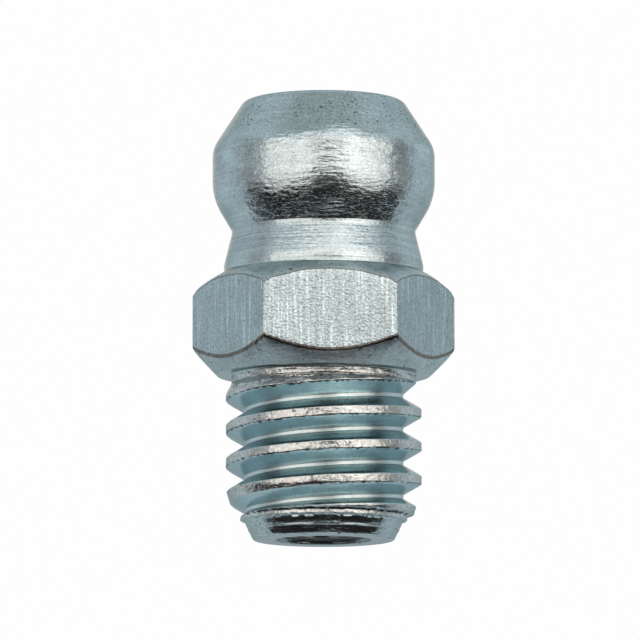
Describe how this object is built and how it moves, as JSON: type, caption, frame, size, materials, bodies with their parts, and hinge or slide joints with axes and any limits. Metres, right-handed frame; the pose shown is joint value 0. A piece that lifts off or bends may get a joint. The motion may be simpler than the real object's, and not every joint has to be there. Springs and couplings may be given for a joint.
{
  "type": "grease nipple",
  "caption": "Straight grease nipple: coned coupler head with a spring-loaded ball check, flared neck, hexagon and a metric thread with a curled-in tip.",
  "frame": {"origin": "on the axis, in the plane of the hexagon's seating face", "axes": "+Z along the axis towards the coupler head, -Z towards the threaded tip; the corners of the hexagon lie on the X axis and two of its flats face -Y and +Y"},
  "size_m": [0.0078, 0.0068, 0.0131],
  "materials": {
    "zinc_plated_steel": "turned and rolled, blue passivated zinc",
    "ball_steel": "polished bearing ball",
    "spring_wire": "drawn wire"
  },
  "bodies": {
    "nipple": {"nipple_body": "zinc_plated_steel", "ball_spring": "spring_wire"},
    "ball": {"check_ball": "ball_steel"}
  },
  "joints": [
    {"name": "ball_slide", "type": "slide", "parent": "nipple", "child": "ball", "axis": [0, 0, 1], "range_m": [-0.0008, 0], "stiffness_N_per_m": 400, "springref_m": 0.0025, "deforming": ["ball_spring"]}
  ]
}
